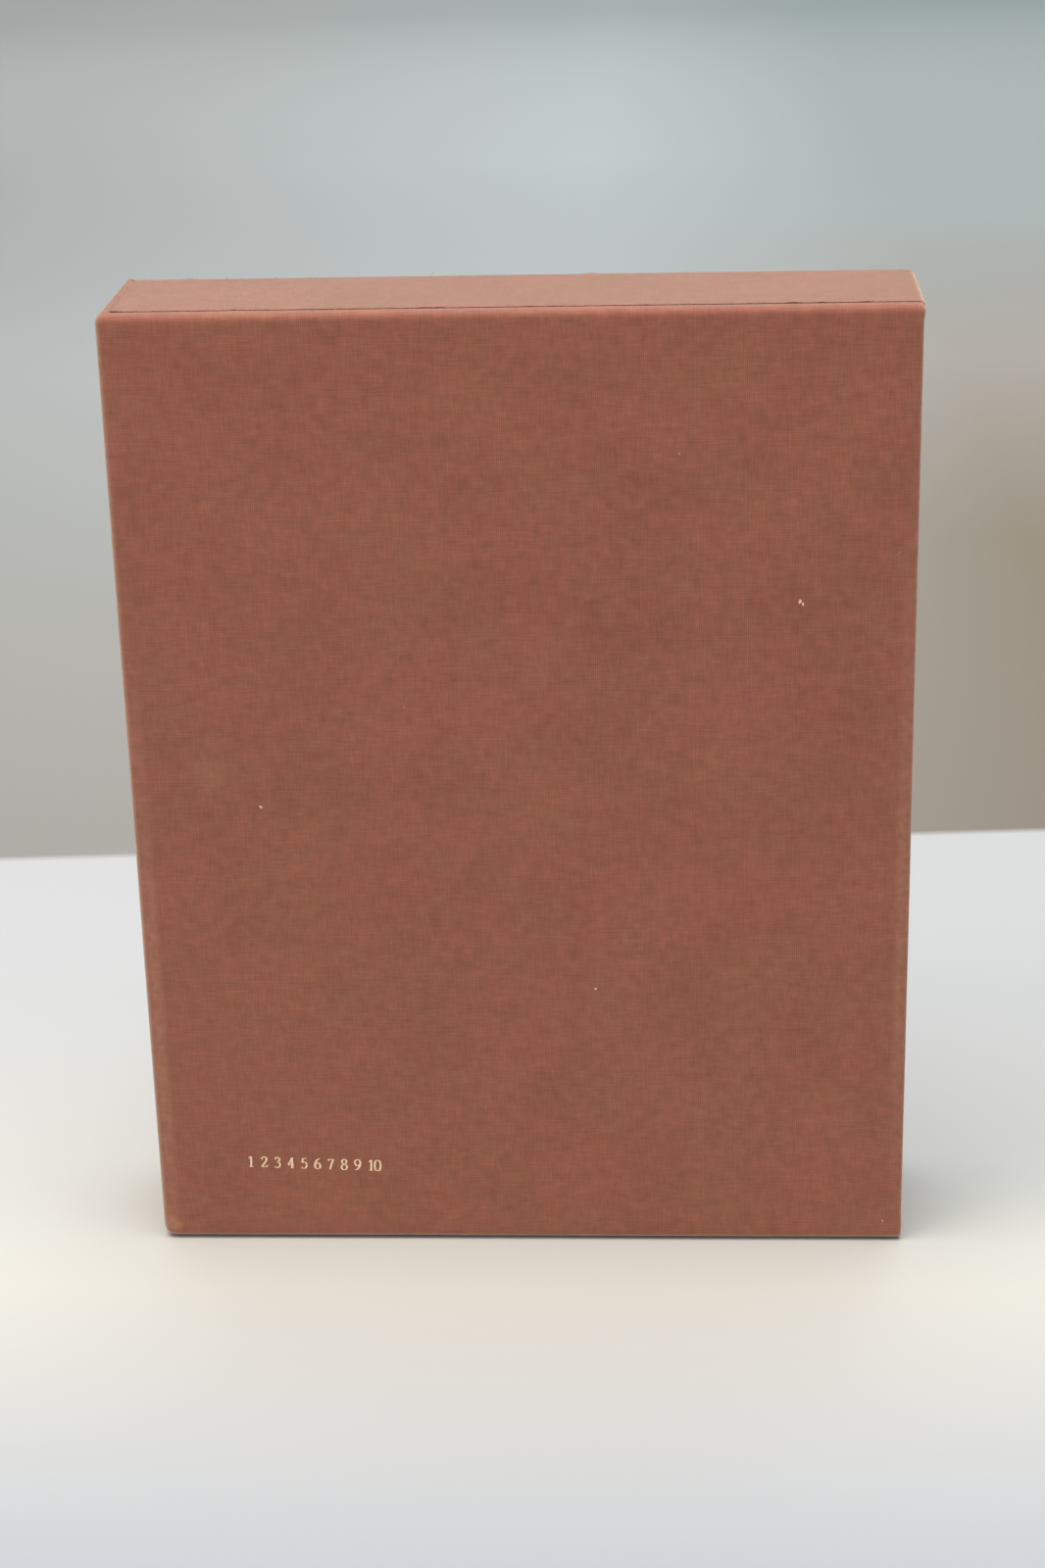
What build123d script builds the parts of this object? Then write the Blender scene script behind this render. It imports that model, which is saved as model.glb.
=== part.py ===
# A cloth-covered slipcase for one large hardback book, standing on its tail.
# Sizes are in millimetres. X runs from the closed edge to the mouth, Y from the front side to
# the back side, and Z up. The origin is the middle of the ground that the case covers.

import os

from build123d import *

os.makedirs("parts", exist_ok=True)

# The book that the case is made for
book_height = 241.0
book_width = 192.0  # from the fore-edge to the round of the spine
book_thickness = 34.5

# Room left round the book between the turned-in cloth
height_clearance = 1.0
width_clearance = 0.8
thickness_clearance = 1.0

# What the case is made of
board_thickness = 2.5
lining_thickness = 0.15
stay_thickness = 0.12
cloth_thickness = 0.4

# Edges of the boards, sanded before they are covered
board_edge_radius = 1.7
board_mouth_radius = 0.5

# Gummed stays over the outer joints
stay_leg = 12.0
stay_end_gap = 0.4
stay_mouth_gap = 2.0

# How the cloth is cut and turned
wrap_turn_in = 15.0  # inside the mouth
turn_over_gap = 1.0  # between the two turn-overs, down the middle of the head and the tail
mitre_gap = 0.3
mitre_corner = 2.6  # cloth left whole at each corner of the closed edge
slit_gap = 0.3
slit_corner = 1.2  # cloth left whole at each corner of the mouth
strip_side_margin = 3.3  # from the front and back sides to the strip's raw edges
strip_closed_margin = 3.6
strip_turn_in = 13.0
strip_side_gap = 0.2  # between the strip's turn-in and the wrap's

# Space inside the linings
clear_height = book_height + height_clearance
clear_thickness = book_thickness + thickness_clearance
wrap_and_strip = 2 * cloth_thickness
lined_height = clear_height + 2 * wrap_and_strip
lined_thickness = clear_thickness + 2 * cloth_thickness
lined_length = book_width + width_clearance

# The five boards put together
wall = board_thickness + lining_thickness
boards_length = lined_length + wall
boards_thickness = lined_thickness + 2 * wall
boards_height = lined_height + 2 * wall

# Layers outside the boards: the stays, the wrap and the strips
wrap_inside = stay_thickness
wrap_outside = wrap_inside + cloth_thickness
strip_outside = wrap_outside + cloth_thickness

# The whole case
case_length = boards_length + wrap_outside + strip_outside
case_thickness = boards_thickness + 2 * wrap_outside
case_height = boards_height + 2 * strip_outside

# Places of the boards' outer faces
closed_x = wrap_outside - case_length / 2
mouth_x = closed_x + boards_length
side_y = boards_thickness / 2
tail_z = strip_outside
head_z = tail_z + boards_height
middle_z = case_height / 2
middle_plane = Plane.XY.offset(middle_z)

# Places of the linings' inner faces
lined_closed_x = closed_x + wall
lined_side_y = lined_thickness / 2
lined_tail_z = tail_z + wall
lined_head_z = head_z - wall

# Further than any piece reaches, for cuts that run out past it
past = 2 * case_height


def block(low, high, mode=Mode.ADD):
    """A plain block from its lowest corner to its highest, in the part being built."""
    with Locations(low):
        Box(
            high[0] - low[0],
            high[1] - low[1],
            high[2] - low[2],
            align=(Align.MIN, Align.MIN, Align.MIN),
            mode=mode,
        )


def case_shape(layer):
    """The solid outer shape of the case at a layer's distance outside the boards."""
    with BuildPart() as shape:
        block(
            (closed_x - layer, -side_y - layer, tail_z - layer),
            (mouth_x + layer, side_y + layer, head_z + layer),
        )
        long_edges = shape.edges().filter_by(Axis.X)
        closed_edges = shape.faces().sort_by(Axis.X)[0].edges()
        fillet(long_edges + closed_edges, board_edge_radius + layer)
        mouth_edges = shape.faces().sort_by(Axis.X)[-1].edges()
        fillet(mouth_edges, board_mouth_radius + layer)
    return shape.part


def finish(piece, name):
    """Labels a finished piece and writes it."""
    piece.label = name
    export_step(piece, f"parts/{name}.step")


boards_shape = case_shape(0)
stays_shape = case_shape(stay_thickness)
wrap_shape = case_shape(wrap_outside)

# Boards
# The side boards run the full height and length. The closed edge's board stands between them,
# and the head and tail boards butt against it.

inner_y = side_y - board_thickness
inner_closed_x = closed_x + board_thickness
inner_tail_z = tail_z + board_thickness
inner_head_z = head_z - board_thickness

board_corners = {
    "front_board": ((closed_x, -side_y, tail_z), (mouth_x, -inner_y, head_z)),
    "back_board": ((closed_x, inner_y, tail_z), (mouth_x, side_y, head_z)),
    "closed_edge_board": ((closed_x, -inner_y, tail_z), (inner_closed_x, inner_y, head_z)),
    "head_board": ((inner_closed_x, -inner_y, inner_head_z), (mouth_x, inner_y, head_z)),
    "tail_board": ((inner_closed_x, -inner_y, tail_z), (mouth_x, inner_y, inner_tail_z)),
}

for name, (low, high) in board_corners.items():
    with BuildPart() as board:
        block(low, high)
        add(boards_shape, mode=Mode.INTERSECT)
    finish(board.part, name)

# Lining papers
# Each wall has its own paper. The side papers are the widest, and the others lie between them.

lining_corners = {
    "front_lining": (
        (inner_closed_x, -inner_y, inner_tail_z),
        (mouth_x, -lined_side_y, inner_head_z),
    ),
    "back_lining": (
        (inner_closed_x, lined_side_y, inner_tail_z),
        (mouth_x, inner_y, inner_head_z),
    ),
    "closed_edge_lining": (
        (inner_closed_x, -lined_side_y, inner_tail_z),
        (lined_closed_x, lined_side_y, inner_head_z),
    ),
    "head_lining": (
        (lined_closed_x, -lined_side_y, lined_head_z),
        (mouth_x, lined_side_y, inner_head_z),
    ),
    "tail_lining": (
        (lined_closed_x, -lined_side_y, inner_tail_z),
        (mouth_x, lined_side_y, lined_tail_z),
    ),
}

for name, (low, high) in lining_corners.items():
    with BuildPart() as lining:
        block(low, high)
    finish(lining.part, name)

# Gummed stays
# Strips of gummed paper, folded over the outer joints of the boards. The two upright ones go the
# full height, and the others stop short of them, so that no stay lies on another.

stay_start_x = closed_x + stay_leg + stay_end_gap
stay_end_x = mouth_x - stay_mouth_gap
stay_side_y = side_y - stay_leg
short_stay_y = stay_side_y - stay_end_gap
stay_head_z = head_z - stay_leg
stay_tail_z = tail_z + stay_leg
upright_head_z = head_z - board_edge_radius
upright_tail_z = tail_z + board_edge_radius

stay_corners = {
    "front_closed_stay": (
        (-past, -past, upright_tail_z),
        (closed_x + stay_leg, -stay_side_y, upright_head_z),
    ),
    "back_closed_stay": (
        (-past, stay_side_y, upright_tail_z),
        (closed_x + stay_leg, past, upright_head_z),
    ),
    "front_head_stay": ((stay_start_x, -past, stay_head_z), (stay_end_x, -stay_side_y, past)),
    "back_head_stay": ((stay_start_x, stay_side_y, stay_head_z), (stay_end_x, past, past)),
    "front_tail_stay": ((stay_start_x, -past, -past), (stay_end_x, -stay_side_y, stay_tail_z)),
    "back_tail_stay": ((stay_start_x, stay_side_y, -past), (stay_end_x, past, stay_tail_z)),
    "closed_head_stay": (
        (-past, -short_stay_y, stay_head_z),
        (closed_x + stay_leg, short_stay_y, past),
    ),
    "closed_tail_stay": (
        (-past, -short_stay_y, -past),
        (closed_x + stay_leg, short_stay_y, stay_tail_z),
    ),
}

with BuildPart() as stay_layer:
    add(stays_shape)
    add(boards_shape, mode=Mode.SUBTRACT)

for name, (low, high) in stay_corners.items():
    with BuildPart() as stay:
        add(stay_layer.part)
        block(low, high, mode=Mode.INTERSECT)
    finish(stay.part, name)

# Side wrap
# One piece of cloth round the front, the closed edge and the back. It goes over the head and the
# tail to near their middle, and over the mouth edges onto the linings. The paste between it and
# the boards fills the thickness of a stay.

wrap_turn_in_x = mouth_x - wrap_turn_in
wrap_opening_y = lined_side_y - cloth_thickness
wrap_opening_head_z = lined_head_z - cloth_thickness
wrap_opening_tail_z = lined_tail_z + cloth_thickness
wrap_closed_x = closed_x - wrap_outside
wrap_side_y = side_y + wrap_outside
mitre_meeting = (wrap_closed_x + wrap_side_y, 0)
slit_y = wrap_opening_y + cloth_thickness / 2
slit_depth = head_z + wrap_outside - slit_corner - wrap_opening_head_z

with BuildPart() as side_wrap:
    add(wrap_shape)
    add(stays_shape, mode=Mode.SUBTRACT)
    # The turn-ins, which close round the mouth like a sleeve before they are slit
    block(
        (wrap_turn_in_x, -lined_side_y, lined_tail_z),
        (mouth_x + wrap_inside, lined_side_y, lined_head_z),
    )
    block(
        (wrap_turn_in_x, -wrap_opening_y, wrap_opening_tail_z),
        (past, wrap_opening_y, wrap_opening_head_z),
        mode=Mode.SUBTRACT,
    )
    mouth_face = side_wrap.faces().filter_by(Plane.YZ).sort_by(Axis.X)[-1]
    fillet(mouth_face.inner_wires()[0].edges(), cloth_thickness)
    # The same cuts at the head, upwards, and at the tail, downwards
    for start_z, way in ((wrap_opening_head_z, 1), (wrap_opening_tail_z, -1)):
        # The gap down the middle, which goes on over the mouth edge and inside
        with BuildSketch(Plane.XY.offset(start_z)):
            with BuildLine():
                Line(mitre_meeting, (past, 0))
            trace(line_width=turn_over_gap)
        extrude(amount=way * past, mode=Mode.SUBTRACT)
        for side in (-1, 1):
            # The mitre towards a corner of the closed edge
            with BuildSketch(Plane.XY.offset(start_z)):
                with BuildLine():
                    corner_y = side * (wrap_side_y - mitre_corner)
                    Line((wrap_closed_x + mitre_corner, corner_y), mitre_meeting)
                trace(line_width=mitre_gap)
            extrude(amount=way * past, mode=Mode.SUBTRACT)
            # The slit at a corner of the mouth
            with BuildSketch(Plane.XY.offset(start_z)):
                with BuildLine():
                    Line((wrap_turn_in_x, side * slit_y), (past, side * slit_y))
                trace(line_width=slit_gap)
            extrude(amount=way * slit_depth, mode=Mode.SUBTRACT)
finish(side_wrap.part, "side_wrap")

# Head and tail strips
# A strip over the head's turn-overs, short of the sides and the closed edge. It goes over the
# mouth edge and is turned in, trimmed to fit between the wrap's turn-ins.

half_cloth = cloth_thickness / 2
strip_start_x = wrap_closed_x + strip_closed_margin
strip_turn_in_x = mouth_x - strip_turn_in
strip_mouth_x = mouth_x + strip_outside - half_cloth
strip_top_z = head_z + strip_outside - half_cloth
strip_low_z = wrap_opening_head_z - half_cloth
strip_half_width = wrap_side_y - strip_side_margin
strip_inside_y = wrap_opening_y - strip_side_gap
outer_fold_radius = board_mouth_radius + wrap_outside + half_cloth
inner_fold_radius = cloth_thickness + half_cloth

with BuildPart() as head_strip:
    with BuildSketch(Plane.XZ):
        with BuildLine():
            FilletPolyline(
                (strip_start_x, strip_top_z),
                (strip_mouth_x, strip_top_z),
                (strip_mouth_x, strip_low_z),
                (strip_turn_in_x, strip_low_z),
                radius=[outer_fold_radius, inner_fold_radius],
            )
        trace(line_width=cloth_thickness)
    extrude(amount=strip_half_width, both=True)
    # The turn-in is narrower than the strip on the head
    for low_y, high_y in ((-past, -strip_inside_y), (strip_inside_y, past)):
        block((strip_turn_in_x, low_y, -past), (past, high_y, lined_head_z), mode=Mode.SUBTRACT)
finish(head_strip.part, "head_strip")

with BuildPart() as tail_strip:
    mirror(head_strip.part, about=middle_plane)
finish(tail_strip.part, "tail_strip")

print(f"case {case_length:.2f} x {case_thickness:.2f} x {case_height:.2f} mm")
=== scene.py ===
import math

import bmesh
import bpy
import numpy as np
from mathutils import Matrix, Vector, noise


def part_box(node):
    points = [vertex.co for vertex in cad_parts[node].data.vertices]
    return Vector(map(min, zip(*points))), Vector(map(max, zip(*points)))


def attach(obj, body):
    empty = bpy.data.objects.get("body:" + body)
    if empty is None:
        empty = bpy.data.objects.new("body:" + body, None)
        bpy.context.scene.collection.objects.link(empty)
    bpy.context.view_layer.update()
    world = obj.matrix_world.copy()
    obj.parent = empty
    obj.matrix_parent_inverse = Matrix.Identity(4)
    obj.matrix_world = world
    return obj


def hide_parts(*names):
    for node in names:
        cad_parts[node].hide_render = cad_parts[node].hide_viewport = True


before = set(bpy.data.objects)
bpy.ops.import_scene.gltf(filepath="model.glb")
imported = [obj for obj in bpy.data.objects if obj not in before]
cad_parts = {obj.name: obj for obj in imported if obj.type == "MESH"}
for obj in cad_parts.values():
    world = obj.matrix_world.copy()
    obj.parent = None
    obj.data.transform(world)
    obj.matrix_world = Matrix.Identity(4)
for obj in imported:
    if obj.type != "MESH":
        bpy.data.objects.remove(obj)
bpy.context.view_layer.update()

# The five boards
# Grey binder's board, 2.5 mm thick, pressed from waste paper fibre. The two sides run the full
# height, and the closed edge, head and tail stand between them, glued edge to face.

mm = 0.001


def linear(hex_colour):
    """An sRGB hex colour as a linear RGBA."""
    channels = [int(hex_colour[i : i + 2], 16) / 255 for i in (1, 3, 5)]
    return [c / 12.92 if c <= 0.04045 else ((c + 0.055) / 1.055) ** 2.4 for c in channels] + [1]


def add(tree, kind, inputs=None, stops=(), **settings):
    """Adds a node, sets its settings and a ramp's stops, and links or sets its inputs."""
    made = tree.nodes.new(kind)
    for name, value in settings.items():
        setattr(made, name, value)
    for name, value in (inputs or {}).items():
        if isinstance(value, bpy.types.NodeSocket):
            tree.links.new(value, made.inputs[name])
        else:
            made.inputs[name].default_value = value
    for _ in stops[2:]:
        made.color_ramp.elements.new(0.5)
    for number, (place, hex_colour) in enumerate(stops):
        made.color_ramp.elements[number].position = place
        made.color_ramp.elements[number].color = linear(hex_colour)
    return made


def material(name, **shader_values):
    """A new material with a Principled shader, and its tree and shader."""
    made = bpy.data.materials.new(name)
    made.use_nodes = True
    tree = made.node_tree
    shader = tree.nodes["Principled BSDF"]
    for socket, value in shader_values.items():
        shader.inputs[socket.replace("_", " ")].default_value = value
    return made, tree, shader


def maths(tree, operation, *values, **settings):
    """The result of an operation on values."""
    inputs = dict(enumerate(values))
    return add(tree, "ShaderNodeMath", inputs, operation=operation, **settings).outputs[0]


def scaled(tree, vector, scale):
    """A vector made longer or shorter."""
    inputs = {0: vector, "Scale": scale}
    return add(tree, "ShaderNodeVectorMath", inputs, operation="SCALE").outputs[0]


def ranged(tree, value, low, high, to_low=0.0, to_high=1.0):
    """A value between low and high, moved to lie between two others and held there."""
    read = {"Value": value, "From Min": low, "From Max": high, "To Min": to_low, "To Max": to_high}
    return add(tree, "ShaderNodeMapRange", read).outputs[0]


def mottle(tree, place, size, detail):
    """Noise whose spots are about a size across."""
    inputs = {"Vector": place, "Scale": 1 / size, "Detail": detail}
    return add(tree, "ShaderNodeTexNoise", inputs).outputs["Fac"]


def ramp(tree, value, stops):
    """The colour that a value has between the stops."""
    return add(tree, "ShaderNodeValToRGB", {"Fac": value}, stops).outputs["Color"]


def raised(tree, shader, height, strength, relief):
    """Makes a shader's surface stand out by a height from 0 to 1, which is the whole relief."""
    inputs = {"Height": height, "Strength": strength, "Distance": relief}
    bump = add(tree, "ShaderNodeBump", inputs)
    tree.links.new(bump.outputs["Normal"], shader.inputs["Normal"])


def dress(node_name, finish):
    """Gives a CAD node a material."""
    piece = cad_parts[node_name]
    piece.data.materials.clear()
    piece.data.materials.append(finish)


# Pulp board: dull grey-brown, with fibres a few millimetres long and darker specks.
fibre_length = 4.0 * mm
board_speck = 0.8 * mm
greyboard, tree, shader = material("pressed_greyboard", Roughness=0.92)
place = add(tree, "ShaderNodeTexCoord").outputs["Object"]
fibres = mottle(tree, place, fibre_length, 8)
specks = mottle(tree, place, board_speck, 3)
pulp = maths(tree, "MULTIPLY", fibres, specks)
pulp_colour = ramp(tree, pulp, [(0.1, "#6B655A"), (0.25, "#8D8576"), (0.4, "#A59C8B")])
tree.links.new(pulp_colour, shader.inputs["Base Color"])
raised(tree, shader, specks, 0.3, 0.1 * mm)
for board in ("front_board", "back_board", "closed_edge_board", "head_board", "tail_board"):
    dress(board, greyboard)

# The five linings
# Uncoated book paper, pasted on the inside of each board before the boards are put together.
# Nothing of them shows in the photograph, so their colour is a plain cream.

# Laid cream paper: matt, faintly mottled, with chain lines 25 mm apart.
paper_cloud = 9.0 * mm
paper_tooth = 0.35 * mm
chain_spacing = 25.0 * mm
bands_a_metre = 3.2  # of a wave texture whose scale is 1
lining_paper, tree, shader = material("laid_lining_paper", Roughness=0.85, Specular_IOR_Level=0.35)
place = add(tree, "ShaderNodeTexCoord").outputs["Object"]
clouds = mottle(tree, place, paper_cloud, 5)
tooth = mottle(tree, place, paper_tooth, 2)
chains = add(
    tree,
    "ShaderNodeTexWave",
    {"Vector": place, "Scale": 1 / (chain_spacing * bands_a_metre), "Distortion": 0.4, "Detail": 1},
    bands_direction="X",
    wave_profile="SAW",
)
both = {"Factor": 0.12, "A": clouds, "B": chains.outputs["Fac"]}
cloud_and_chain = add(tree, "ShaderNodeMix", both).outputs["Result"]
paper_colour = ramp(tree, cloud_and_chain, [(0.3, "#CDBF9F"), (0.55, "#DCD0B4"), (0.8, "#E4DAC2")])
tree.links.new(paper_colour, shader.inputs["Base Color"])
raised(tree, shader, tooth, 0.25, 0.05 * mm)
for lining in ("front_lining", "back_lining", "closed_edge_lining", "head_lining", "tail_lining"):
    dress(lining, lining_paper)

# The eight stays
# Gummed kraft paper strips, 12 mm a leg, folded over the outer joints of the boards under the
# cloth. They hold the corners square while the glue dries.


def speckled(name, grain, detail, stops, relief=0, **shader_values):
    """A material whose colour wanders between the stops in specks of a grain's size, which stand
    out by a relief."""
    made, tree, shader = material(name, **shader_values)
    place = add(tree, "ShaderNodeTexCoord").outputs["Object"]
    specks = mottle(tree, place, grain, detail)
    tree.links.new(ramp(tree, specks, stops), shader.inputs["Base Color"])
    if relief:
        raised(tree, shader, specks, 0.4, relief)
    return made


# Kraft paper: warm brown, mottled by its long fibres.
kraft = speckled(
    "gummed_kraft_paper",
    grain=1.5 * mm,
    detail=6,
    stops=[(0.35, "#A07C52"), (0.65, "#BE9A6C")],
    Roughness=0.7,
    Specular_IOR_Level=0.4,
)
for walls in (
    "front_closed",
    "back_closed",
    "front_head",
    "back_head",
    "front_tail",
    "back_tail",
    "closed_head",
    "closed_tail",
):
    dress(walls + "_stay", kraft)

# The side wrap
# One piece of plain-woven book cloth, paste-backed and 0.4 mm thick, drawn round the front, the
# closed edge and the back. It is turned over the head and tail, mitred at the closed edge, and
# turned in at the mouth.

wrap_low, wrap_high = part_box("side_wrap")
strip_low, strip_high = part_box("head_strip")
_, board_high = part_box("front_board")
_, lining_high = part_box("front_lining")
cloth = strip_high.z - wrap_high.z
edge_radius = 2.22 * mm
mouth_radius = 1.02 * mm
wall = lining_high.y - wrap_low.y + cloth
turn_in = 15.0 * mm
turn_over_gap = 1.0 * mm
mitre_gap = 0.3 * mm
mitre_corner = 2.6 * mm
least_reach = 0.05 * mm
slit_gap = 0.3 * mm
closed_x = wrap_low.x
mouth_x = wrap_high.x
fold_x = mouth_x - mouth_radius
side_y = wrap_high.y
tail_z = wrap_low.z
head_z = wrap_high.z
turn_in_x = board_high.x - turn_in


def eased(count):
    """Shares from 0 to 1, closer together near both ends."""
    even = np.linspace(0, 1, count)
    slow_ends = 0.5 - 0.5 * np.cos(np.pi * even)
    return (even * 2 + slow_ends) / 3


def arc(count):
    """Angles of a quarter turn, with its two ends."""
    return np.linspace(0, math.pi / 2, count)


# Shares along each straight run and angles round each corner, the same wherever two runs meet
along_length = eased(84)
along_height = eased(104)
along_thickness = eased(20)
round_edge = arc(7)
round_mouth = arc(6)


def grid_faces(mesh, points, flat, flat_map):
    """Adds a grid of points, rows by columns, with its place on the flat cloth."""
    rows, columns = points.shape[:2]
    corners = [[mesh.verts.new(points[i, j]) for j in range(columns)] for i in range(rows)]
    for i in range(rows - 1):
        for j in range(columns - 1):
            round_face = ((i, j), (i, j + 1), (i + 1, j + 1), (i + 1, j))
            face = mesh.faces.new([corners[row][column] for row, column in round_face])
            for loop, (row, column) in zip(face.loops, round_face):
                loop[flat_map].uv = flat[row, column]


# Flat size of the wrap: round the case and into the mouth, and up over the head and the tail
edge_run = edge_radius * math.pi / 2
front_run = fold_x - closed_x - edge_radius
closed_run = 2 * (side_y - edge_radius)
fold_run = mouth_radius * math.pi / 2 + (wall - mouth_radius - cloth) + cloth * math.pi / 2
turned_run = mouth_x - cloth - turn_in_x
outer_run = 2 * front_run + closed_run + 2 * edge_run
over_run = edge_run + side_y - edge_radius - turn_over_gap / 2
upright_run = head_z - tail_z - 2 * edge_radius
wrap_flat = (outer_run + 2 * (fold_run + turned_run), upright_run + 2 * over_run)


def flat_place(round_case, up_case):
    """A distance round the case and up it, as a place from 0 to 1 on the flat cloth."""
    return np.stack(
        [
            (round_case + fold_run + turned_run) / wrap_flat[0],
            (up_case + over_run) / wrap_flat[1],
        ],
        axis=-1,
    )


def wall_outline(inset):
    """Points round the case seen from above, from the front's mouth to the back's, with how far
    round each one is, for a case drawn in by an inset. Corners keep what is left of their round."""
    corner = max(edge_radius, inset)
    left = max(edge_radius - inset, 0)
    points, runs = [], []
    for share in along_length:
        points.append((fold_x + (closed_x + corner - fold_x) * share, -side_y + inset))
        runs.append(front_run * share)
    for angle in round_edge[1:]:
        points.append(
            (closed_x + corner - left * math.sin(angle), -side_y + corner - left * math.cos(angle))
        )
        runs.append(front_run + edge_radius * angle)
    for share in along_thickness[1:]:
        points.append((closed_x + inset, (2 * share - 1) * (side_y - corner)))
        runs.append(front_run + edge_run + closed_run * share)
    # The back mirrors the front
    front_half = len(along_length) + len(round_edge) - 1
    points, runs = np.array(points), np.array(runs)
    back = points[:front_half][::-1] * (1, -1)
    back_runs = outer_run - runs[:front_half][::-1]
    return np.concatenate([points[:-1], back]), np.concatenate([runs[:-1], back_runs])


wrap_mesh = bmesh.new()
wrap_map = wrap_mesh.loops.layers.uv.new("cloth")

# The walls: front, closed edge and back
outline, runs = wall_outline(0)
heights = tail_z + edge_radius + upright_run * along_height
wall_points = np.array([[(x, y, z) for x, y in outline] for z in heights])
wall_flat = np.array(
    [flat_place(runs, np.full_like(runs, z - tail_z - edge_radius)) for z in heights]
)
grid_faces(wrap_mesh, wall_points, wall_flat, wrap_map)

# The rounded edges and turn-overs at the head and at the tail
insets = edge_radius + (side_y - edge_radius - turn_over_gap / 2) * along_thickness
for up in (1, -1):
    end_z = head_z if up == 1 else tail_z
    base_run = upright_run if up == 1 else 0
    rounding, rounding_flat = [], []
    for angle in round_edge:
        inset = edge_radius * (1 - math.cos(angle))
        points, _ = wall_outline(inset)
        z = end_z - up * edge_radius * (1 - math.sin(angle))
        rounding.append([(x, y, z) for x, y in points])
        rounding_flat.append(
            flat_place(runs, np.full_like(runs, base_run + up * edge_radius * angle))
        )
    sheets = [(np.array(rounding), np.array(rounding_flat))]
    for side in (-1, 1):
        flap, flap_flat = [], []
        for inset in insets:
            apart = mitre_gap / 2 if inset > mitre_corner else 0
            start = closed_x + inset + apart
            x = fold_x + (start - fold_x) * along_length
            y = np.full_like(x, side * (side_y - inset))
            flap.append(np.stack([x, y, np.full_like(x, end_z)], axis=-1))
            run = np.where(side == -1, fold_x - x, outer_run - (fold_x - x))
            over = base_run + up * (edge_run + inset - edge_radius)
            flap_flat.append(flat_place(run, np.full_like(x, over)))
        sheets.append((np.array(flap), np.array(flap_flat)))
    flap, flap_flat = [], []
    for inset in insets:
        apart = mitre_gap / 2 if inset > mitre_corner else 0
        reach = max(side_y - inset - apart, least_reach)
        y = (2 * along_thickness - 1) * reach
        flap.append(
            np.stack([np.full_like(y, closed_x + inset), y, np.full_like(y, end_z)], axis=-1)
        )
        run = front_run + edge_run + closed_run / 2 + y
        over = base_run + up * (edge_run + inset - edge_radius)
        flap_flat.append(flat_place(run, np.full_like(y, over)))
    sheets.append((np.array(flap), np.array(flap_flat)))
    for points, flat in sheets:
        grid_faces(wrap_mesh, points, flat, wrap_map)

# The mouth: over the edges of the boards and in onto the linings, round the four sides. A profile
# point is its x, its depth inside the outer faces and how far it is from where the round starts.
profile = [
    (fold_x + mouth_radius * math.sin(a), mouth_radius * (1 - math.cos(a)), mouth_radius * a)
    for a in round_mouth
]
band_run = mouth_radius * math.pi / 2
for share in (0.35, 0.7, 1.0):
    depth = mouth_radius + (wall - cloth - mouth_radius) * share
    profile.append((mouth_x, depth, band_run + depth - mouth_radius))
for a in round_mouth[1:]:
    profile.append(
        (
            mouth_x - cloth * (1 - math.cos(a)),
            wall - cloth * (1 - math.sin(a)),
            fold_run - cloth * (math.pi / 2 - a),
        )
    )
for share in np.linspace(0, 1, 9)[1:]:
    profile.append((mouth_x - cloth - turned_run * share, wall, fold_run + turned_run * share))

for side in (-1, 1):
    ring, ring_flat = [], []
    for x, depth, run in profile:
        corner = max(edge_radius, depth)
        left = max(edge_radius - depth, 0)
        inside = depth >= wall and x < mouth_x - cloth
        row, ups = [], []
        for up in (-1, 1):
            end_z = head_z if up == 1 else tail_z
            part, part_up = [], []
            slit = slit_gap if inside else 0
            for share in along_thickness[::-1]:
                y = side_y - corner - slit - (side_y - corner - slit - turn_over_gap / 2) * share
                part.append((x, side * y, end_z - up * depth))
                part_up.append(edge_run + (side_y - edge_radius - turn_over_gap / 2) * share)
            for angle in round_edge[::-1][1:]:
                y = side_y - corner + left * math.cos(angle)
                part.append((x, side * y, end_z - up * (corner - left * math.sin(angle))))
                part_up.append(edge_radius * angle)
            if up == 1:
                part, part_up = part[::-1], part_up[::-1]
            row.append(part)
            ups.append([up * p + (upright_run if up == 1 else 0) for p in part_up])
        low, high = tail_z + corner, head_z - corner
        between_ends = along_height[1:-1]
        straight = [
            (x, side * (side_y - depth), low + (high - low) * share) for share in between_ends
        ]
        row = row[0] + straight + row[1]
        up_run = ups[0] + [upright_run * share for share in between_ends] + ups[1]
        ring.append(row)
        round_case = -run if side == -1 else outer_run + run
        ring_flat.append(flat_place(np.full(len(row), round_case), np.array(up_run)))
    grid_faces(wrap_mesh, np.array(ring), np.array(ring_flat), wrap_map)

same_place = 0.002 * mm
bmesh.ops.remove_doubles(wrap_mesh, verts=wrap_mesh.verts, dist=same_place)
bmesh.ops.dissolve_degenerate(wrap_mesh, edges=wrap_mesh.edges, dist=same_place / 2)
bmesh.ops.recalc_face_normals(wrap_mesh, faces=wrap_mesh.faces)


def near(distance, reach):
    """1 at a place, falling smoothly to 0 at its reach."""
    share = min(max(1 - abs(distance) / reach, 0), 1)
    return share * share * (3 - 2 * share)


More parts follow.
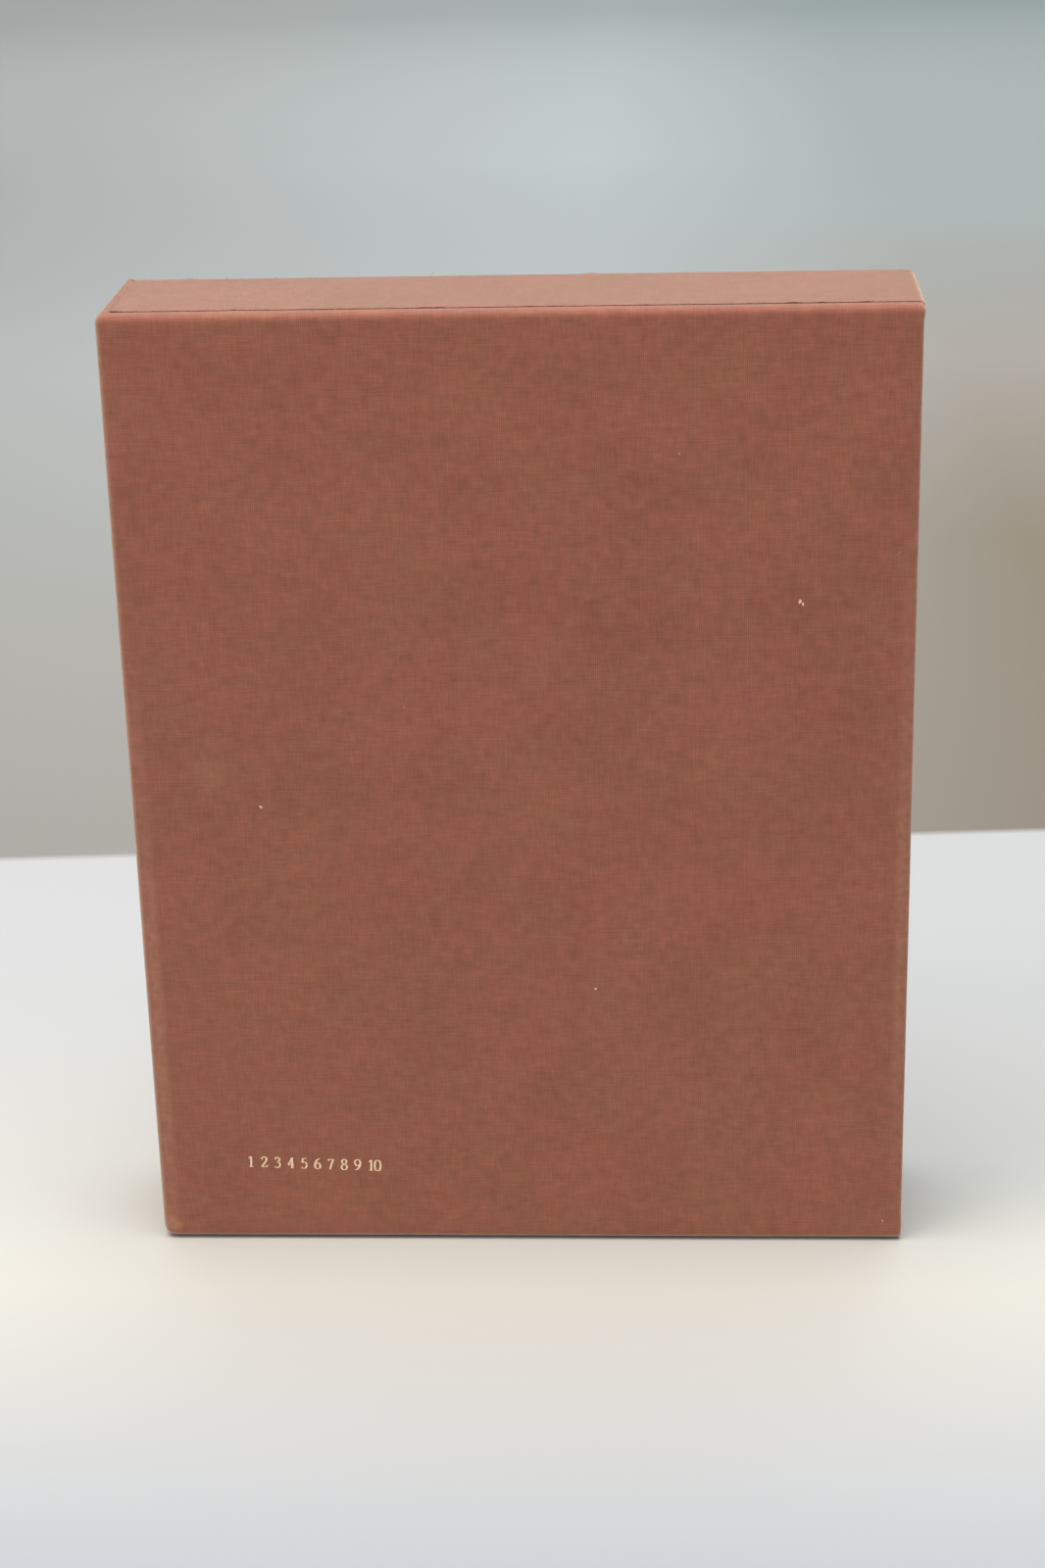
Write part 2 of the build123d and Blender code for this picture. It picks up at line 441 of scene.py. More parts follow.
# The board's slow warp, the ripples of the paste, and places that the photograph shows, each with
# its centre, how far it reaches and its height: a pucker near the head's closed corner on the
# front, a fold lifted at the back's, small knots of bunched cloth at the mouth's corners, the
# closed corner at the tail, bumped blunt, and a knot beside the head strip's edge
board_warp = 0.12 * mm
warp_waves = 14  # a metre
paste_ripple = 0.05 * mm
ripple_waves = 90  # a metre
lumps = [
    ((closed_x + 2.4 * mm, -side_y, head_z - 3.4 * mm), (0.9 * mm, 2 * mm, 3.2 * mm), -0.25 * mm),
    ((closed_x + 4.2 * mm, -side_y, head_z - 4.4 * mm), (1.1 * mm, 2 * mm, 3.8 * mm), 0.16 * mm),
    ((closed_x + 2.0 * mm, side_y - 2.0 * mm, head_z), (1.3 * mm, 1.5 * mm, 1.3 * mm), 0.45 * mm),
    ((mouth_x, -side_y + 1.2 * mm, head_z - 1.8 * mm), (1.4 * mm, 1.6 * mm, 1.4 * mm), 0.35 * mm),
    ((mouth_x, -side_y + 1.2 * mm, tail_z + 4.6 * mm), (1.2 * mm, 1.4 * mm, 1.6 * mm), 0.35 * mm),
    (
        (closed_x + 0.4 * mm, -side_y + 0.8 * mm, tail_z + 0.6 * mm),
        (3.2 * mm, 4.5 * mm, 3.6 * mm),
        -0.4 * mm,
    ),
    ((-65.0 * mm, -18.0 * mm, head_z), (1.2 * mm, 1.0 * mm, 1.5 * mm), 0.22 * mm),
]


def cloth_rise(p):
    """How far the pasted cloth stands out from the flat at a point."""
    warp = (noise.noise(p * warp_waves) - 1) / 2 * board_warp
    ripple = (noise.noise(p * ripple_waves + Vector((3, 1, 7))) - 1) / 2 * paste_ripple
    rise = warp + ripple
    for centre, reach, height in lumps:
        rise += height * near(Vector([(p[k] - centre[k]) / reach[k] for k in range(3)]).length, 1)
    return rise


def shape_cloth(mesh):
    """Pushes the cloth in and out along its normals."""
    mesh.normal_update()
    moves = [vert.normal * cloth_rise(vert.co) for vert in mesh.verts]
    for vert, move in zip(mesh.verts, moves):
        vert.co += move


# How far wear reaches in from each edge, and the rubbed places on the faces: a ridge beside the
# closed edge, a hinge line beside the mouth, the bumped corner, and a pale patch on the front
closed_wear, mouth_wear, side_wear, end_wear = 1.6 * mm, 1.2 * mm, 1.2 * mm, 1.4 * mm
ridge_inset, ridge_width = 3.0 * mm, 2.0 * mm
ridge_middle, ridge_reach = 70 * mm, 125 * mm
hinge_inset, hinge_width = 2.0 * mm, 2.2 * mm
hinge_middle, hinge_reach = 100 * mm, 130 * mm
face_depth = 1.0 * mm
bumped_corner = Vector((closed_x + 3.2 * mm, -side_y, tail_z + 4.2 * mm))
bump_reach = 3.0 * mm
pale_patch = Vector((-77.9 * mm, -side_y, 134 * mm))
patch_reach = 6.0 * mm


def worn(p):
    """How worn the cloth is at a point: most at corners, then along the edges."""
    to_wall = max(near(p.x - closed_x, closed_wear), near(p.x - mouth_x, mouth_wear))
    to_side = near(abs(p.y) - side_y, side_wear)
    to_end = max(near(p.z - head_z, end_wear), near(p.z - tail_z, end_wear))
    first, second, third = sorted((to_wall, to_side, to_end), reverse=True)
    edges = first * second * (0.4 + third * 0.9)
    on_face = near(abs(p.y) - side_y, face_depth)
    ridge = near(p.x - closed_x - ridge_inset, ridge_width) * near(p.z - ridge_middle, ridge_reach)
    hinge = near(p.x - mouth_x + hinge_inset, hinge_width) * near(p.z - hinge_middle, hinge_reach)
    corner = near((p - bumped_corner).length, bump_reach)
    patch = near((p - pale_patch).length, patch_reach)
    rubbed = on_face * (ridge * 0.45 + hinge * 0.35)
    return min(edges + rubbed + corner * 0.6 + patch * 0.25, 1)


def in_scene(name, data):
    """A new object that holds the data, linked to the scene."""
    made = bpy.data.objects.new(name, data)
    bpy.context.scene.collection.objects.link(made)
    return made


def cloth_object(name, mesh):
    """Turns a bmesh into an object with smooth faces and a map of its wear."""
    wear = mesh.verts.layers.float.new("wear")
    for vert in mesh.verts:
        vert[wear] = worn(vert.co)
    data = bpy.data.meshes.new(name)
    mesh.to_mesh(data)
    mesh.free()
    data.shade_smooth()
    return in_scene(name, data)


crisp_angle = math.radians(50)


def thicken(piece, thickness):
    """Gives a sheet its thickness inwards, as a plain mesh with crisp cut edges. The cut edges
    take the piece's second material."""
    solidify = piece.modifiers.new("thickness", "SOLIDIFY")
    solidify.thickness = thickness
    solidify.offset = -1
    solidify.use_even_offset = True
    solidify.material_offset_rim = 1
    bpy.context.view_layer.update()
    evaluated = piece.evaluated_get(bpy.context.evaluated_depsgraph_get())
    data = bpy.data.meshes.new_from_object(evaluated)
    piece.modifiers.remove(solidify)
    piece.data = data
    data.set_sharp_from_angle(angle=crisp_angle)


# Book cloth: a plain cotton weave dyed terracotta. The threads lie about 0.3 mm apart, drawn
# 0.5 mm apart so that they show. Uneven yarn makes faint streaks both ways, and the dye mottles
# between red and brown. Fuzz gives a pale sheen at a grazing angle.
thread_spacing = 0.5 * mm
thread_wander = 0.35 * thread_spacing
wander_length = 6 * thread_spacing
streak_width = 0.55 * mm
streak_length = 5.0 * mm
blotch = 5.0 * mm
mottle_size = 3.2 * mm
cloud = 26.0 * mm
rubbed_grain = 1.8 * mm
weave_relief = 0.12 * mm


def book_cloth(name, flat):
    """Book cloth for a piece whose UV map is the flat cut, of that width and length."""
    made, tree, shader = material(
        name, Roughness=0.86, Specular_IOR_Level=0.25, Sheen_Weight=0.92, Sheen_Roughness=0.45
    )
    shader.inputs["Sheen Tint"].default_value = linear("#FFF0DA")
    cut = add(tree, "ShaderNodeUVMap", uv_map="cloth").outputs["UV"]
    size = {0: cut, 1: (*flat, 0)}
    real = add(tree, "ShaderNodeVectorMath", size, operation="MULTIPLY").outputs[0]

    def yarn_streaks(along_u):
        """Streaks of uneven yarn that run one way."""
        long, wide = 1 / streak_length, 1 / streak_width
        scale = {0: real, 1: (long, wide, 1) if along_u else (wide, long, 1)}
        stretched = add(tree, "ShaderNodeVectorMath", scale, operation="MULTIPLY").outputs[0]
        return mottle(tree, stretched, 1.0, 3)

    def cloudy(size, detail, seed):
        """Soft clouds of a size, moved by a seed so that no two lie alike."""
        moved = add(tree, "ShaderNodeVectorMath", {0: real, 1: (seed, seed, seed)}, operation="ADD")
        return mottle(tree, moved.outputs[0], size, detail)

    # Over and under: two crossing sets of waves, a little bent, rise where a thread is on top
    wobble = add(
        tree, "ShaderNodeTexNoise", {"Vector": real, "Scale": 1 / wander_length, "Detail": 2}
    )
    pushed = scaled(tree, wobble.outputs["Color"], thread_wander)
    bent = add(tree, "ShaderNodeVectorMath", {0: real, 1: pushed}, operation="ADD")
    turns = scaled(tree, bent.outputs[0], math.pi / thread_spacing)
    waves = add(tree, "ShaderNodeVectorMath", {0: turns}, operation="SINE")
    split = add(tree, "ShaderNodeSeparateXYZ", {"Vector": waves.outputs[0]})
    crossing = maths(tree, "MULTIPLY", split.outputs["X"], split.outputs["Y"])
    thread_round = maths(tree, "POWER", maths(tree, "ABSOLUTE", crossing), 0.5)

    # Dye: brown and red clouds, then blotches and streaks, and the weave's painted light and shade:
    # darker in the hollows between the threads and lighter on the threads on top
    both = {"Factor": 0.45, "A": cloudy(cloud, 3, 0.31), "B": cloudy(blotch, 4, 0.77)}
    tone = add(tree, "ShaderNodeMix", both).outputs["Result"]
    dye = ramp(tree, tone, [(0.36, "#8F5242"), (0.5, "#8F5441"), (0.64, "#8D5640")])
    streaks = maths(tree, "ADD", yarn_streaks(True), yarn_streaks(False))
    # Each pattern with the range it is read over, and how far it darkens and lightens the cloth
    lightness_with_painted_weave_shade = 1.0
    for pattern, *ranges in (
        (streaks, 0.7, 1.3, 0.86, 1.14),
        # The weave: painted shade in its hollows and painted highlight on the threads on top
        (thread_round, 0.0, 1.0, 0.7, 1.18),
        (cloudy(mottle_size, 5, 0.57), 0.25, 0.75, 0.87, 1.13),
        (cloudy(cloud, 2, 0.91), 0.3, 0.7, 0.94, 1.06),
    ):
        lightness_with_painted_weave_shade = maths(tree, "MULTIPLY", lightness_with_painted_weave_shade, ranged(tree, pattern, *ranges))
    dyed = scaled(tree, dye, lightness_with_painted_weave_shade)

    # Wear: paler cloth where the attribute says, broken into patches
    rubbed = add(tree, "ShaderNodeAttribute", attribute_name="wear").outputs["Fac"]
    patches = ranged(tree, cloudy(rubbed_grain, 5, 0.13), 0.3, 0.7, 0.3, 1.2)
    pale = maths(tree, "MULTIPLY", rubbed, patches, use_clamp=True)
    both = {"Factor": pale, "A": dyed, "B": linear("#BC8B6C")}
    worn_colour = add(tree, "ShaderNodeMix", both, data_type="RGBA").outputs["Result"]
    tree.links.new(worn_colour, shader.inputs["Base Color"])
    raised(tree, shader, maths(tree, "ADD", thread_round, streaks), 0.6, weave_relief)
    return made


# Cut cloth: the ends of the threads, soaked with paste and darker than the face. Its darkest browns
# are also painted shade: the shadow under the strips' raw edges, which draws the thin dark line
# where a strip's edge lies on the wrap.
cut_cloth_with_painted_shade = speckled(
    "cut_cloth_edge_with_painted_shade",
    grain=2 * thread_spacing,
    detail=3,
    stops=[(0.3, "#3A1C12"), (0.5, "#5A2E20"), (0.7, "#8E5540")],
    Roughness=0.9,
    Specular_IOR_Level=0.2,
)

shape_cloth(wrap_mesh)
side_wrap = cloth_object("side_wrap_cloth", wrap_mesh)
side_wrap.data.materials.append(book_cloth("woven_book_cloth_wrap", wrap_flat))
side_wrap.data.materials.append(cut_cloth_with_painted_shade)
thicken(side_wrap, cloth)
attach(side_wrap, "root")
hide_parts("side_wrap")

# The head and tail strips
# A strip of the same cloth lies on the head and another on the tail, over the turned edges of
# the wrap. Each runs over the mouth edge and 13 mm in, and all its edges are raw.

strip_turn_in = 13.0 * mm
strip_mouth_x = strip_high.x
strip_start_x = strip_low.x
strip_half = strip_high.y
mouth_clearance = 0.47 * mm
strip_inner_half = strip_half - mouth_clearance
outer_fold = mouth_radius + cloth
inner_fold = 2 * cloth
strip_depth = strip_high.z - strip_low.z
strip_end_x = board_high.x - strip_turn_in
strip_steps = 190
raw_wave = 0.12 * mm
fray_waves = (260, 900)  # a metre
fray_reach = 3 * mm
raw_lift = 0.27 * mm
lift_waves = (80, 290)  # a metre
rubbed_down = 0.22 * mm
rubbed_width = 1.1 * mm


def strip_path():
    """Points along a strip: x, depth below the case's end, and distance run."""
    top_run = strip_mouth_x - outer_fold - strip_start_x
    path = [(strip_start_x + top_run * share, 0, top_run * share) for share in eased(strip_steps)]
    for a in round_mouth[1:]:
        x = strip_mouth_x - outer_fold * (1 - math.sin(a))
        path.append((x, outer_fold * (1 - math.cos(a)), top_run + outer_fold * a))
    run = top_run + outer_fold * math.pi / 2
    drop = strip_depth - outer_fold - inner_fold
    for share in (0.33, 0.67, 1):
        path.append((strip_mouth_x, outer_fold + drop * share, run + drop * share))
    run += drop
    for a in round_mouth[1:]:
        x = strip_mouth_x - inner_fold * (1 - math.cos(a))
        path.append((x, strip_depth - inner_fold * (1 - math.sin(a)), run + inner_fold * a))
    run += inner_fold * math.pi / 2
    back = strip_mouth_x - inner_fold - strip_end_x
    for share in np.linspace(0, 1, 14)[1:]:
        path.append((strip_mouth_x - inner_fold - back * share, strip_depth, run + back * share))
    return path


strip_line = strip_path()
strip_flat = (strip_line[-1][2], 2 * strip_half)
strip_columns = 2 * eased(36) - 1
strip_cloth = book_cloth("woven_book_cloth_strip", strip_flat)
raw_edges = {}
for name, up, end_z in (("head_strip", 1, strip_high.z), ("tail_strip", -1, 0.0)):
    mesh = bmesh.new()
    strip_map = mesh.loops.layers.uv.new("cloth")
    rows, flat = [], []
    for x, depth, run in strip_line:
        turned = min(max((depth - outer_fold) / (strip_depth - outer_fold - inner_fold), 0), 1)
        half = strip_half + (strip_inner_half - strip_half) * turned
        row, row_flat = [], []
        for across in strip_columns:
            side = math.copysign(1, across)
            fray = noise.noise(Vector((run * fray_waves[0], side * 5, up * 3))) * 0.7
            fray += noise.noise(Vector((run * fray_waves[1], side, up))) * 0.5
            y = across * (half + fray * raw_wave * near(1 - abs(across), 0.1))
            end_fray = noise.noise(Vector((y * 400, up * 9, 2))) * near(run, fray_reach)
            row.append((x - end_fray * raw_wave * 2, y, end_z - up * depth))
            row_flat.append((run / strip_flat[0], 0.5 + across * half / strip_half / 2))
        rows.append(row)
        flat.append(row_flat)
    grid_faces(mesh, np.array(rows), np.array(flat), strip_map)
    bmesh.ops.recalc_face_normals(mesh, faces=mesh.faces)
    end_middle = Vector((0, 0, end_z))
    middle = min(mesh.faces, key=lambda face: (face.calc_center_median() - end_middle).length)
    if middle.normal.z * up < 0:
        bmesh.ops.reverse_faces(mesh, faces=mesh.faces)
    shape_cloth(mesh)
    # The raw edge is rubbed down into the cloth below, and here and there it has lifted again
    mesh.normal_update()
    moves = []
    for vert in mesh.verts:
        p = vert.co
        to_side = near(strip_half - abs(p.y), rubbed_width)
        edge = max(to_side, near(p.x - strip_start_x, rubbed_width))
        slow, quick = (
            noise.noise(Vector((p.x * waves, math.copysign(seed, p.y), up)))
            for waves, seed in zip(lift_waves, (4, 8))
        )
        loose = max(slow * 1.2 + quick * 0.9 - 0.15, 0)
        moves.append(vert.normal * edge * (raw_lift * loose - rubbed_down))
    for vert, move in zip(mesh.verts, moves):
        vert.co += move
    # The raw edges on the face, each with the way its threads point
    places = [vert.co.copy() for vert in mesh.verts]
    columns = len(strip_columns)
    last = strip_steps * columns
    raw_edges[name] = [
        (places[0:last:columns], (0, -1, 0.2 * up)),
        (places[columns - 1 : last : columns], (0, 1, 0.2 * up)),
        (places[0:columns], (-1, 0, 0.2 * up)),
    ]
    strip = cloth_object(name + "_cloth", mesh)
    strip.data.materials.append(strip_cloth)
    # The cut edges take the cut cloth, with its painted shade under the raw edge
    strip.data.materials.append(cut_cloth_with_painted_shade)
    thicken(strip, cloth)
    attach(strip, "root")
    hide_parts(name)

# The loose threads
# Ends of yarn stand out along the raw edges of the strips, where the knife cut them. Longer
# threads have lifted in two places, at the back of the head and near the mouth on the front.

thread_radius = 0.05 * mm
thread_gap = 1.1 * mm
thread_length = 0.55 * mm
lifted_gap = 0.3 * mm
lifted_length = 2.0 * mm
lifted_run = 1.2 * mm
lifted_spots = [
    ((-21.0 * mm, strip_half - 0.3 * mm, strip_high.z), (0.6, 0.4, 0.8)),
    ((93.2 * mm, -side_y, 190.2 * mm), (-0.2, -0.5, -0.8)),
]


def new_tree(name, *sizes):
    """A Geometry Nodes tree with named sizes, its input node and the identifiers of its sizes."""
    tree = bpy.data.node_groups.new(name, "GeometryNodeTree")
    face = tree.interface
    face.new_socket("Geometry", in_out="INPUT", socket_type="NodeSocketGeometry")
    sockets = {}
    for size in sizes:
        made = face.new_socket(size, in_out="INPUT", socket_type="NodeSocketFloat")
        sockets[size] = made.identifier
    face.new_socket("Geometry", in_out="OUTPUT", socket_type="NodeSocketGeometry")
    return tree, add(tree, "NodeGroupInput").outputs, sockets


def facing_outward(tree, lean, spin, seed):
    """Rotations that look along each point's outward vector, leaning and turned at random."""
    outward = add(
        tree, "GeometryNodeInputNamedAttribute", {"Name": "outward"}, data_type="FLOAT_VECTOR"
    )
    aimed = add(
        tree,
        "FunctionNodeAlignRotationToVector",
        {"Vector": outward.outputs["Attribute"]},
        axis="Z",
    )
    limits = {"Min": (-lean, -lean, -spin), "Max": (lean, lean, spin), "Seed": seed}
    angles = add(tree, "FunctionNodeRandomValue", limits, data_type="FLOAT_VECTOR")
    turn = add(tree, "FunctionNodeEulerToRotation", {"Euler": angles.outputs["Value"]})
    turned = {"Rotation": aimed.outputs[0], "Rotate By": turn.outputs[0]}
    rotation = add(tree, "FunctionNodeRotateRotation", turned, rotation_space="LOCAL")
    return outward.outputs["Attribute"], rotation.outputs[0]


def place_copies(tree, finish, inputs):
    """Ends a tree: puts copies on its points, makes them real and gives them their material."""
    placed = add(tree, "GeometryNodeInstanceOnPoints", inputs)
    whole = add(tree, "GeometryNodeRealizeInstances", {"Geometry": placed.outputs[0]})
    finished = add(
        tree, "GeometryNodeSetMaterial", {"Geometry": whole.outputs[0], "Material": finish}
    )
    add(tree, "NodeGroupOutput", {"Geometry": finished.outputs[0]})


def thread_tree(finish):
    """Stands short curved threads along an edge, each pointing the edge's outward way."""
    tree, given, sockets = new_tree("loose_threads", "Spacing", "Thread length", "Thread radius")
    edge = add(tree, "GeometryNodeMeshToCurve", {"Mesh": given["Geometry"]})
    spaced = {"Curve": edge.outputs[0], "Length": given["Spacing"]}
    points = add(tree, "GeometryNodeCurveToPoints", spaced, mode="LENGTH")
    _, rotation = facing_outward(tree, lean=0.9, spin=3.0, seed=11)
    size = add(tree, "FunctionNodeRandomValue", {2: 0.25, 3: 1.0, "Seed": 5}, data_type="FLOAT")
    kept = add(
        tree, "FunctionNodeRandomValue", {"Probability": 0.55, "Seed": 23}, data_type="BOOLEAN"
    )
    # One thread, bowed a little to its side
    tip = add(tree, "ShaderNodeCombineXYZ", {"Z": given["Thread length"]})
    halfway = maths(tree, "MULTIPLY", given["Thread length"], 0.5)
    aside = maths(tree, "MULTIPLY", given["Thread radius"], 3.0)
    bow = add(tree, "ShaderNodeCombineXYZ", {"X": aside, "Z": halfway})
    line = {"Resolution": 5, "Start": (0, 0, 0), "Middle": bow.outputs[0], "End": tip.outputs[0]}
    thread = add(tree, "GeometryNodeCurveQuadraticBezier", line)
    ring = {"Resolution": 6, "Radius": given["Thread radius"]}
    section = add(tree, "GeometryNodeCurvePrimitiveCircle", ring, mode="RADIUS")
    swept = {"Curve": thread.outputs[0], "Profile Curve": section.outputs[0], "Fill Caps": True}
    yarn = add(tree, "GeometryNodeCurveToMesh", swept)
    copies = {
        "Points": points.outputs["Points"],
        "Selection": kept.outputs[3],
        "Instance": yarn.outputs[0],
        "Rotation": rotation,
        "Scale": size.outputs[1],
    }
    place_copies(tree, finish, copies)
    return tree, sockets


def grown(name, tree_and_sockets, points, edges, outward, sizes):
    """Runs a tree on points and edges, and leaves the result as a plain mesh object."""
    tree, sockets = tree_and_sockets
    data = bpy.data.meshes.new(name)
    data.from_pydata(points, edges, [])
    ways = data.attributes.new("outward", "FLOAT_VECTOR", "POINT")
    ways.data.foreach_set("vector", [part for way in outward for part in way])
    piece = in_scene(name, data)
    modifier = piece.modifiers.new("grow", "NODES")
    modifier.node_group = tree
    for label, size in sizes.items():
        modifier[sockets[label]] = size
    bpy.context.view_layer.update()
    evaluated = piece.evaluated_get(bpy.context.evaluated_depsgraph_get())
    plain = bpy.data.meshes.new_from_object(evaluated)
    piece.modifiers.remove(modifier)
    # Nothing goes below the table
    for vert in plain.vertices:
        vert.co.z = max(vert.co.z, 0)
    piece.data = plain
    plain.shade_smooth()
    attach(piece, "root")


# Loose yarn: a paler terracotta than the pasted face, with a little fuzz.
loose_yarn = speckled(
    "loose_cotton_yarn",
    grain=0.6 * mm,
    detail=2,
    stops=[(0.35, "#7E4634"), (0.65, "#B27A62")],
    Roughness=0.9,
    Sheen_Weight=0.4,
)
threads = thread_tree(loose_yarn)


def thread_piece(name, edges, spacing, length):
    """One piece of loose threads along edges, each given as its points and its outward way."""
    points, lines, outward = [], [], []
    for edge, way in edges:
        first = len(points)
        points += edge
        lines += [(first + i, first + i + 1) for i in range(len(edge) - 1)]
        outward += [way] * len(edge)
    sizes = {"Spacing": spacing, "Thread length": length, "Thread radius": thread_radius}
    grown(name, threads, points, lines, outward, sizes)


for name, edges in raw_edges.items():
    thread_piece(name + "_threads", edges, thread_gap, thread_length)
lifted_edges = [([(x, y, z), (x + lifted_run, y, z)], way) for (x, y, z), way in lifted_spots]
thread_piece("lifted_threads", lifted_edges, lifted_gap, lifted_length)

# The pale flecks
# Undyed fibres spun into the yarn show as pale flecks, each well under a millimetre across. Those
# on the front lie where the photograph shows them, and the back and closed edge have a few too.

fleck_size = 2.0 * mm
fleck_height = 0.1 * mm
back_flecks = 7
closed_edge_flecks = 2

# Each front fleck's x and z in millimetres, and its share of the full size
front_flecks = [
    ((69.6, 177.8), 0.62),
    ((70.3, 176.9), 0.5),
    ((18.4, 73.8), 0.45),
    ((-65.2, 124.5), 0.5),
    ((93.0, 6.1), 0.3),
    ((-28.0, 151.0), 0.2),
    ((40.5, 215.0), 0.2),
]


def fleck_tree(finish):
    """Lays a small flat tuft on each point, turned at random about the way the face looks."""
    tree, given, sockets = new_tree("pale_flecks", "Fleck size", "Fleck height")
    outward, rotation = facing_outward(tree, lean=0.1, spin=3.1, seed=3)
    # One ragged tuft: a ball whose points are pushed in and out
    tuft = add(tree, "GeometryNodeMeshIcoSphere", {"Radius": 0.5, "Subdivisions": 3})
    where = add(tree, "GeometryNodeInputPosition").outputs[0]
    lumpy = add(tree, "ShaderNodeTexNoise", {"Vector": where, "Scale": 3.2, "Detail": 2})
    pushed = ranged(tree, lumpy.outputs["Fac"], 0.25, 0.75, 0.35, 1.5)
    moved = {"Geometry": tuft.outputs[0], "Position": scaled(tree, where, pushed)}
    ragged = add(tree, "GeometryNodeSetPosition", moved)
    # The outward vector's length is the fleck's share of the full size
    share = add(tree, "ShaderNodeVectorMath", {0: outward}, operation="LENGTH")
    narrow = maths(tree, "MULTIPLY", given["Fleck size"], 0.55)
    full = {"X": given["Fleck size"], "Y": narrow, "Z": given["Fleck height"]}
    size = add(tree, "ShaderNodeCombineXYZ", full)
    copies = {
        "Points": given["Geometry"],
        "Instance": ragged.outputs[0],
        "Rotation": rotation,
        "Scale": scaled(tree, size.outputs[0], share.outputs["Value"]),
    }
    place_copies(tree, finish, copies)
    return tree, sockets


# Undyed cotton: pinkish cream, with a little of the dye caught in it.
undyed = speckled(
    "undyed_cotton_fleck",
    grain=0.3 * mm,
    detail=3,
    stops=[(0.3, "#C58C76"), (0.6, "#F0C9B4")],
    Roughness=0.9,
    Sheen_Weight=0.3,
)

chance = np.random.default_rng(7)
fleck_points, fleck_ways = [], []
for (x, z), size in front_flecks:
    p = Vector((x * mm, -side_y, z * mm))
    fleck_points.append(p + Vector((0, -cloth_rise(p), 0)))
    fleck_ways.append((0, -size, 0))
for _ in range(back_flecks):
    p = Vector((chance.uniform(-80, 80) * mm, side_y, chance.uniform(20, 230) * mm))
    fleck_points.append(p + Vector((0, cloth_rise(p), 0)))
    fleck_ways.append((0, chance.uniform(0.2, 0.55), 0))
for _ in range(closed_edge_flecks):
    p = Vector((closed_x, chance.uniform(-14, 14) * mm, chance.uniform(30, 220) * mm))
    fleck_points.append(p + Vector((-cloth_rise(p), 0, 0)))
    fleck_ways.append((-chance.uniform(0.2, 0.5), 0, 0))
fleck_sizes = {"Fleck size": fleck_size, "Fleck height": fleck_height}
grown("cloth_flecks", fleck_tree(undyed), fleck_points, [], fleck_ways, fleck_sizes)

# The stamped line
# A row of plain figures near the foot of the front, 3.1 mm high, stamped in pale gold foil by
# hot type. The line runs slightly downhill.

figure_height = 3.1 * mm
figure_thick = 0.155  # of its height, as are the strokes' points
figure_thin = 0.065
thin_strokes = 1.4
foil = 0.02 * mm
foil_buried = 4 * foil
foil_step = foil / 12
row_start = Vector((-74.5 * mm, 0, 21.9 * mm))
row_end = Vector((-39.1 * mm, 0, 20.7 * mm))

# Each figure's strokes, as points on a square whose height is 1
figures = {
    "0": [
        [
            (0.25, 0.0), (0.07, 0.1), (0.0, 0.5), (0.07, 0.9), (0.25, 1.0), (0.43, 0.9), (0.5, 0.5),
            (0.43, 0.1), (0.25, 0.0),
        ]
    ],
    "1": [
        [(0.06, 0.84), (0.16, 0.9), (0.27, 1.0)],
        [(0.27, 1.0), (0.27, 0.5), (0.27, 0.02)],
        [(0.1, 0.02), (0.27, 0.02), (0.44, 0.02)],
    ],
    "2": [
        [
            (0.04, 0.74), (0.09, 0.92), (0.25, 1.0), (0.42, 0.9), (0.43, 0.68), (0.28, 0.4),
            (0.03, 0.04),
        ],
        [(0.03, 0.05), (0.25, 0.05), (0.47, 0.05)],
        [(0.47, 0.05), (0.49, 0.2)],
    ],
    "3": [
        [(0.05, 0.8), (0.13, 0.95), (0.27, 0.99), (0.41, 0.88), (0.4, 0.68), (0.2, 0.54)],
        [(0.2, 0.54), (0.41, 0.45), (0.46, 0.26), (0.36, 0.05), (0.16, 0.0), (0.02, 0.1)],
    ],
    "4": [
        [(0.36, 1.0), (0.2, 0.64), (0.02, 0.3)],
        [(0.02, 0.3), (0.27, 0.3), (0.53, 0.3)],
        [(0.36, 1.0), (0.36, 0.5), (0.36, 0.02)],
        [(0.24, 0.02), (0.48, 0.02)],
    ],
    "5": [
        [(0.12, 0.96), (0.28, 0.96), (0.44, 1.0)],
        [(0.13, 0.96), (0.09, 0.56)],
        [
            (0.09, 0.56), (0.26, 0.61), (0.44, 0.48), (0.46, 0.24), (0.34, 0.04), (0.16, 0.0),
            (0.03, 0.08),
        ],
    ],
    "6": [
        [
            (0.44, 0.98), (0.22, 0.86), (0.05, 0.55), (0.03, 0.25), (0.14, 0.03), (0.3, 0.0),
            (0.44, 0.1), (0.48, 0.3), (0.4, 0.52), (0.25, 0.58), (0.07, 0.44),
        ]
    ],
    "7": [
        [(0.04, 0.82), (0.07, 0.95)],
        [(0.07, 0.95), (0.27, 0.95), (0.49, 0.95)],
        [(0.48, 0.95), (0.3, 0.5), (0.18, 0.0)],
    ],
    "8": [
        [
            (0.25, 0.55), (0.09, 0.64), (0.07, 0.86), (0.25, 1.0), (0.43, 0.86), (0.41, 0.66),
            (0.25, 0.55), (0.06, 0.42), (0.02, 0.2), (0.12, 0.03), (0.25, 0.0), (0.4, 0.04),
            (0.48, 0.22), (0.43, 0.42), (0.25, 0.55),
        ]
    ],
    "9": [
        [
            (0.06, 0.02), (0.28, 0.14), (0.45, 0.45), (0.47, 0.75), (0.36, 0.97), (0.2, 1.0),
            (0.06, 0.9), (0.02, 0.7), (0.1, 0.48), (0.25, 0.42), (0.43, 0.56),
        ]
    ],
}


